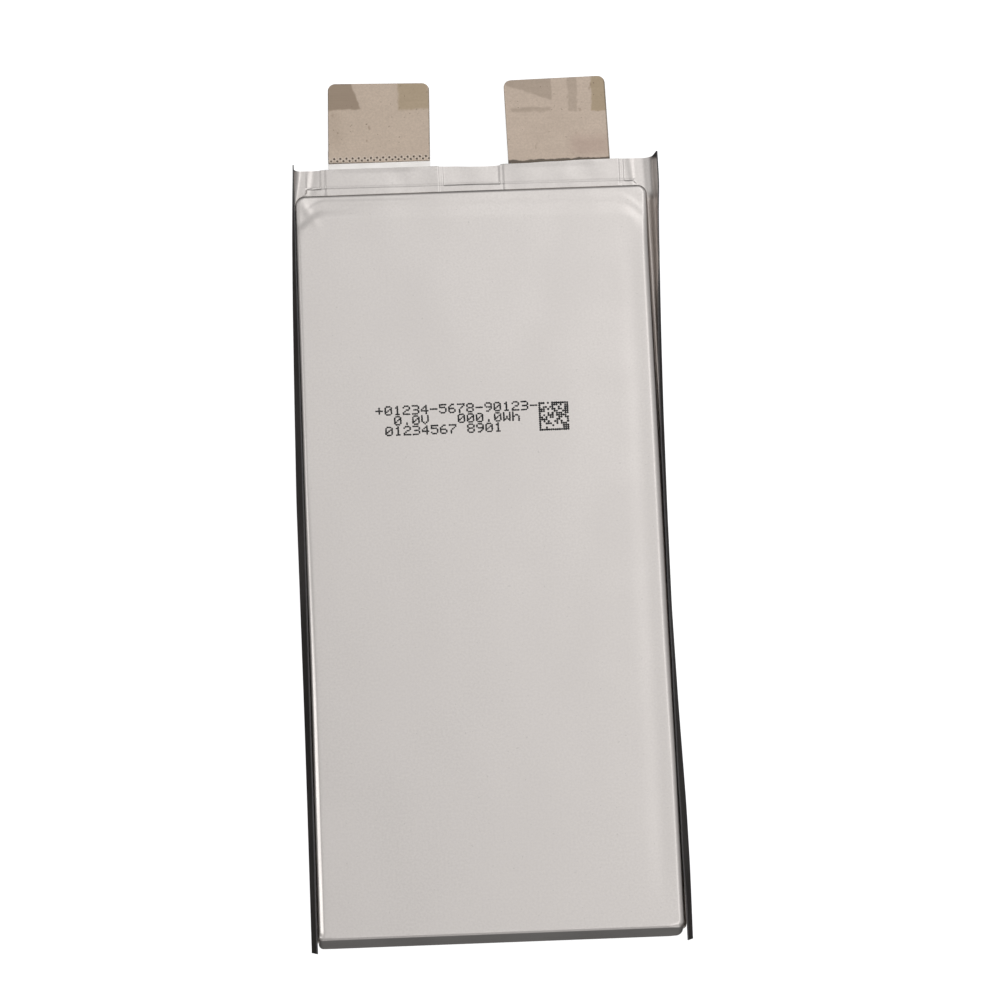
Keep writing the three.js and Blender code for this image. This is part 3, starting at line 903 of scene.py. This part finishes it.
def nickel_material(name, tint, outline, stains_and_shade, weld_rows=(), bends=False):
    """Nickel strip with dull stains, specks and smudges, and painted dark edges: partly painted shade
    along the cut edges, partly their burr.

    A patch is (centre, size, softness, turn). outline is the patch that the face fills inside its painted
    dark edges; each stain or painted shade is (patches, share, colour), and shows where all its patches
    meet.
    """
    paint = Paint(name, 1.0, 0.36, tint, bends)
    lines = paint.grain((9, 0.12, 1), 3.0)
    cloud = paint.grain((4, 4, 4), 3.0)
    mottle = paint.grain((0.5, 0.5, 0.5), 4.0, rough=0.75)
    tone = paint.blend(paint.span(cloud, 0.3, 0.7, 0, 0.5), tint, tuple(v * 0.9 for v in tint))
    tone = paint.blend(paint.span(mottle, 0.35, 0.65, 0, 0.6), tone, tuple(v * 0.8 for v in tint))
    dull = 0.0
    for patches, share, colour in stains_and_shade:
        mask = share
        for patch in patches:
            mask = paint.math("MULTIPLY", mask, paint.patch(*patch))
        tone = paint.blend(mask, tone, colour)
        dull = paint.math("MAXIMUM", dull, mask)
    speck = paint.span(paint.grain((0.8, 0.8, 0.8), 1.0, shift=(3, 17, 0)), 0.71, 0.78, 0, 0.6)
    tone = paint.blend(speck, tone, (0.16, 0.12, 0.095))
    smudge = paint.span(paint.grain((1.9, 2.9, 1.9), 2.0, shift=(13, 5, 0)), 0.66, 0.76, 0, 0.5)
    tone = paint.blend(smudge, tone, (0.3, 0.225, 0.17))
    # painted shade along the cut edges, partly burr: the face darkens outside the outline patch
    edge = paint.math("SUBTRACT", 1.0, paint.patch(*outline, wobble=0.12))
    tone = paint.blend(paint.math("MULTIPLY", edge, 0.6), tone, (0.15, 0.125, 0.1))
    for first, pitch in weld_rows:
        for radius, softness, share, colour in WELD_TONES:
            mask = paint.math("MULTIPLY", paint.spots(first, pitch, radius, softness), share)
            tone = paint.blend(mask, tone, colour)
    rough = paint.span(lines, 0.3, 0.7, 0.33, 0.42)
    rough = paint.math("ADD", rough, paint.math("MULTIPLY", dull, 0.1))
    return paint.finish(Base_Color=tone, Roughness=rough, Normal=paint.bump(lines, 0.004, 0.5))


def soft_material(name, light, dark, roughness, size, depth, subsurface=0.0):
    """Plastic film, tape, coating or ink, with a mottle of the given size."""
    paint = Paint(name, 0.0, roughness, light)
    mottle = paint.grain((size, size, size), 3.0)
    paint.shader.inputs["Subsurface Weight"].default_value = subsurface
    paint.shader.inputs["Subsurface Radius"].default_value = (0.0004, 0.0004, 0.0003)
    tone = paint.blend(paint.span(mottle, 0.3, 0.7), light, dark)
    rough = paint.span(mottle, 0.3, 0.7, roughness - 0.05, roughness + 0.05)
    return paint.finish(Base_Color=tone, Roughness=rough, Normal=paint.bump(mottle, depth, 0.6))


STAIN = (0.34, 0.265, 0.20)
DARK_STAIN = (0.36, 0.29, 0.23)
OLIVE = (0.37, 0.285, 0.17)
ROSE = (0.44, 0.30, 0.26)
# painted shadow: the dark band across the negative strip where it goes into the seal
PAINTED_SEAL_SHADOW = (0.1, 0.085, 0.07)
UNSHADED_FACE_WIDTH = 23.8                # width of a tab's face inside its painted dark edges, which are partly painted edge shade and partly burr
CUT_SOFTNESS = 0.12

POSITIVE_STAINS = (
    ((((-30.0, 116.5), (14, 8), 0.3, 0.0), ((-31.2, 114.2), (10, 14), 0.25, 0.32)), 0.85, STAIN),
    ((((-12.7, 116.1), (7.4, 8.0), 0.5, 0.0),), 0.55, OLIVE),
    ((((-31.5, 108.0), (3.0, 9.0), 2.0, 0.0),), 0.2, STAIN),
)
# Stains on the negative strip, and last the painted shadow where the strip goes into the seal.
NEGATIVE_STAINS_AND_SHADOW = (
    ((((14.3, 117), (12, 14), 0.25, 0.0), ((16.4, 119.1), (20, 8), 0.3, -0.365)), 0.5, DARK_STAIN),
    ((((15.3, 111.0), (9.3, 1.0), 0.3, 0.0),), 0.4, DARK_STAIN),
    ((((25.3, 115.0), (2.2, 9.6), 0.25, 0.0),), 0.4, DARK_STAIN),
    ((((31.9, 115.2), (4.2, 10.0), 0.3, 0.0),), 0.6, OLIVE),
    ((((29.0, 101.5), (9.0, 5.0), 2.0, 0.0),), 0.3, ROSE),
    # painted shadow across the strip at the seal's edge
    ((((TAB_OFFSET, 97.8), (30.0, 1.1), 0.15, 0.0),), 0.85, PAINTED_SEAL_SHADOW),
)
# For each row of weld spots: the first spot's place, and the pitch.
WELD_PAINT = [((PLATE_MIDDLE - (count - 1) / 2 * WELD_PITCH, PLATE_START + rise), WELD_PITCH)
              for rise, count in WELD_ROWS]

# Name, light tone, dark tone, roughness, size of the mottle, depth of its relief.
SOFT_FINISHES = (
    ("film_cut_edge", (0.05, 0.05, 0.052), (0.09, 0.088, 0.085), 0.5, 0.4, 0.005),
    ("weld_tape", (0.62, 0.34, 0.05), (0.5, 0.26, 0.03), 0.32, 2, 0.01),
    ("separator_film", (0.86, 0.86, 0.84), (0.79, 0.79, 0.77), 0.6, 0.5, 0.01),
    ("cathode_coating", (0.035, 0.035, 0.037), (0.022, 0.022, 0.024), 0.75, 0.2, 0.01),
    ("anode_coating", (0.075, 0.072, 0.07), (0.05, 0.048, 0.047), 0.6, 0.25, 0.01),
    ("stack_tape", (0.2, 0.42, 0.16), (0.16, 0.36, 0.13), 0.35, 2.5, 0.01),
    ("ink", (0.006, 0.006, 0.007), (0.012, 0.012, 0.012), 0.65, 0.2, 0.002),
)
# Name, clean tone, oxidised tone, roughness, size of the fine lines along each axis, their depth,
# and whether the metal bends with a hinge.
METAL_FINISHES = (
    ("aluminium_tab", (0.93, 0.9, 0.87), (0.88, 0.85, 0.82), 0.36, (6, 0.15, 1), 0.004, True),
    ("aluminium_foil", (0.85, 0.85, 0.85), (0.78, 0.78, 0.78), 0.28, (0.6, 2.2, 1), 0.03, False),
    ("copper_foil", (0.78, 0.42, 0.26), (0.66, 0.33, 0.2), 0.3, (0.6, 2.2, 1), 0.03, False),
)

materials = {
    "laminate_film": laminate_material(),
    "positive_plate": nickel_material(
        "nickel_plate", (0.59, 0.485, 0.395),
        outline=((PLATE_MIDDLE, 108.9), (UNSHADED_FACE_WIDTH, 19.9), CUT_SOFTNESS, POSITIVE_TILT),
        stains_and_shade=POSITIVE_STAINS, weld_rows=WELD_PAINT),
    "negative_strip": nickel_material(
        "nickel_strip", (0.58, 0.477, 0.393),
        outline=((TAB_OFFSET - 0.2, 104.0), (UNSHADED_FACE_WIDTH, 29.9), CUT_SOFTNESS, NEGATIVE_TILT),
        stains_and_shade=NEGATIVE_STAINS_AND_SHADOW, bends=True),
    "sealant_film": soft_material(
        "sealant_film", (0.78, 0.76, 0.72), (0.7, 0.68, 0.63), 0.4, 1.2, 0.01, subsurface=0.4),
}
for finish in SOFT_FINISHES:
    materials[finish[0]] = soft_material(*finish)
for finish in METAL_FINISHES:
    materials[finish[0]] = metal_material(*finish)


def dress(obj, material):
    """Gives a whole object one material."""
    obj.data.materials.clear()
    obj.data.materials.append(materials[material])


# The first word here that is in a CAD node's name gives its material.
NODE_FINISH = {
    "weld_tape": "weld_tape",
    "separator": "separator_film",
    "cathode": "cathode_coating",
    "anode": "anode_coating",
    "positive_foil": "aluminium_foil",
    "negative_foil": "copper_foil",
    "stack_tape": "stack_tape",
    "sealant": "sealant_film",
    "positive_tab": "aluminium_tab",
    "negative_tab": "negative_strip",
    "positive_adapter": "positive_plate",
    "pouch": "laminate_film",
}
for node_name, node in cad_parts.items():
    finish_name = next(value for key, value in NODE_FINISH.items() if key in node_name)
    dress(node, finish_name)


# ---- put the pieces on the frame ----

def film_piece(name, front, node):
    """Makes one half of the laminate and puts it in the place of its CAD node."""
    film = apply_modifiers(pouch_film(name, front))
    film.data.set_sharp_from_angle(angle=SHARP_ANGLE)
    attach(film, "cell_body")
    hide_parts(node)


film_piece("pouch_front_film", True, "pouch_front_shell")
film_piece("pouch_rear_film", False, "pouch_rear_shell")

for polarity, centre in (("positive", -TAB_OFFSET), ("negative", TAB_OFFSET)):
    for face, side in (("front", 1), ("rear", -1)):
        strip = sealant(f"{polarity}_sealant_film_{face}", centre, side)
        dress(strip, "sealant_film")
        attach(strip, "cell_body")
        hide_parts(f"{polarity}_sealant_{face}")

lead = positive_lead_strip()
dress(lead, "aluminium_tab")
keep_places(lead)
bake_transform(lead)
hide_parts("positive_tab_lead", "positive_tab_bend", "positive_tab_stub")

plate = positive_plate()
dress(plate, "positive_plate")
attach(plate, "positive_tab")
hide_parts("positive_adapter_plate")

blade = negative_tab_strip()
dress(blade, "negative_strip")
keep_places(blade)
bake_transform(blade)
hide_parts("negative_tab_lead", "negative_tab_bend", "negative_tab_blade")

ink = ink_marking()
dress(ink, "ink")
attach(ink, "cell_body")


# ---- camera, floor and light ----

AIM = Vector((3.9, 14.3, 5.5)) * MM
DISTANCE = 1.16585                # metres
AZIMUTH, ELEVATION, ROLL = (math.radians(v) for v in (-4.54, 73.58, -2.285))

reach = math.cos(ELEVATION)
back = Vector((math.sin(AZIMUTH) * reach, -math.cos(AZIMUTH) * reach, math.sin(ELEVATION)))
side_axis = (-back).cross(Vector((0, 0, 1))).normalized()
up_axis = side_axis.cross(-back)
camera_up = up_axis * math.cos(ROLL) + side_axis * math.sin(ROLL)
camera_side = (-back).cross(camera_up)
lens = bpy.data.cameras.new("camera")
lens.lens = 180
lens.sensor_width = 36
lens.clip_start = 0.01
camera = link(bpy.data.objects.new("camera", lens))
turn = Matrix((camera_side, camera_up, back)).transposed().to_4x4()
camera.matrix_world = Matrix.Translation(AIM + back * DISTANCE) @ turn
bpy.context.scene.camera = camera

FLOOR_HALF = 4.0                  # metres
FLOOR_DROP = 0.0002               # the floor lies just below the cell
floor_mesh = bpy.data.meshes.new("floor")
corners = ((-1, -1), (1, -1), (1, 1), (-1, 1))
floor_points = [(x * FLOOR_HALF, y * FLOOR_HALF, -FLOOR_DROP) for x, y in corners]
floor_mesh.from_pydata(floor_points, [], [(0, 1, 2, 3)])
floor = link(bpy.data.objects.new("floor", floor_mesh))
floor.visible_glossy = False
floor_paint = Paint("floor", 0.0, 0.9, (0.6, 0.6, 0.6))
floor_paint.shader.inputs["Specular IOR Level"].default_value = 0.0
floor_paint.shader.inputs["Emission Color"].default_value = (1, 1, 1, 1)
floor_paint.shader.inputs["Emission Strength"].default_value = 0.82
floor_mesh.materials.append(floor_paint.material)

world = bpy.data.worlds.new("studio")
bpy.context.scene.world = world
world.use_nodes = True
sky = world.node_tree
directions = sky.nodes.new("ShaderNodeSeparateXYZ")
sky.links.new(sky.nodes.new("ShaderNodeTexCoord").outputs["Generated"], directions.inputs[0])


def sky_profile(axis, stops):
    """A grey level that depends on one component of the direction looked in: (component, level) pairs."""
    share = sky.nodes.new("ShaderNodeMapRange")
    share.inputs["From Min"].default_value = -1
    sky.links.new(directions.outputs[axis], share.inputs["Value"])
    profile = sky.nodes.new("ShaderNodeValToRGB")
    profile.color_ramp.interpolation = "EASE"
    elements = profile.color_ramp.elements
    while len(elements) < len(stops):
        elements.new(0.5)
    for element, (component, level) in zip(elements, stops):
        element.position = (component + 1) / 2
        element.color = (level, level, level, 1)
    sky.links.new(share.outputs["Result"], profile.inputs["Fac"])
    return profile.outputs["Color"]


def sky_mix(kind, a, b):
    """Two sky colours put together."""
    node = sky.nodes.new("ShaderNodeMix")
    node.data_type = "RGBA"
    node.blend_type = kind
    node.inputs[0].default_value = 1
    sky.links.new(a, node.inputs[6])
    sky.links.new(b, node.inputs[7])
    return node.outputs[2]


SKY_BY_HEIGHT = ((-1, 0.012), (-0.68, 0.014), (-0.4, 0.12), (0.0, 0.28), (0.3, 0.36), (0.6, 0.46),
                 (0.8, 0.74), (1.0, 0.92))
SKY_BY_DEPTH = ((-1, 0.85), (-0.5, 0.7), (0.0, 0.6), (0.2, 0.48), (0.42, 0.95), (0.6, 0.7), (1.0, 0.45))
SKY_BY_SIDE = ((-1, 0.6), (-0.6, 0.5), (-0.2, 0.44), (0.0, 0.46), (0.18, 1.15), (0.48, 0.6), (1.0, 0.8))
TABLE_BY_DEPTH = ((-1, 0.4), (-0.5, 0.2), (-0.2, 0.06), (0.1, 0.0))
TABLE_BY_HEIGHT = ((-1, 0.5), (-0.2, 0.5), (0.1, 0.0))
above = sky_mix("MULTIPLY", sky_profile("Z", SKY_BY_HEIGHT), sky_profile("Y", SKY_BY_DEPTH))
above = sky_mix("MULTIPLY", above, sky_profile("X", SKY_BY_SIDE))
table = sky_mix("MULTIPLY", sky_profile("Z", TABLE_BY_HEIGHT), sky_profile("Y", TABLE_BY_DEPTH))
sky.links.new(sky_mix("ADD", above, table), sky.nodes["Background"].inputs["Color"])
sky.nodes["Background"].inputs["Strength"].default_value = 2.47


def area_light(name, place, size, power):
    """A rectangular light that faces the cell's middle."""
    data = bpy.data.lights.new(name, "AREA")
    data.shape = "RECTANGLE"
    data.size, data.size_y = size
    data.energy = power
    light = link(bpy.data.objects.new(name, data))
    light.location = place
    light.rotation_euler = (-Vector(place)).to_track_quat("-Z", "Y").to_euler()


area_light("left", (-1.5, 0.27, 1.2), (0.3, 1.2), 3.4)

bpy.context.scene.view_settings.view_transform = "Standard"
bpy.context.scene.view_settings.look = "None"
